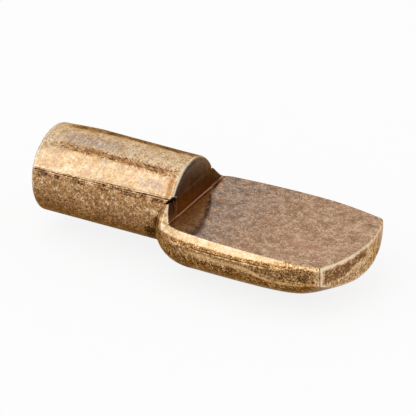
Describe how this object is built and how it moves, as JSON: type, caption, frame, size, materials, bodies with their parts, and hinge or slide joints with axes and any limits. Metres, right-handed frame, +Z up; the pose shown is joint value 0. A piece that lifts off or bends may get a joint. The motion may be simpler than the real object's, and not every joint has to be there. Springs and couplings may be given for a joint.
{
  "type": "shelf support pin",
  "caption": "Spoon-type shelf support: a round peg for a hole in the cabinet side, a half-round shoulder and a flat-topped rounded paddle that the shelf rests on.",
  "frame": {"origin": "on the peg's axis, where the back of the paddle meets the cabinet side", "axes": "+X along the peg towards the tip of the paddle, +Y across the paddle, +Z up out of the deck that carries the shelf; the deck lies in the plane Z = 0"},
  "size_m": [0.0242, 0.0102, 0.0069],
  "materials": {
    "plated_steel": "antique brass plating on cold-headed steel wire, mottled and rubbed"
  },
  "bodies": {
    "root": {"support_pin": "plated_steel"}
  },
  "joints": []
}
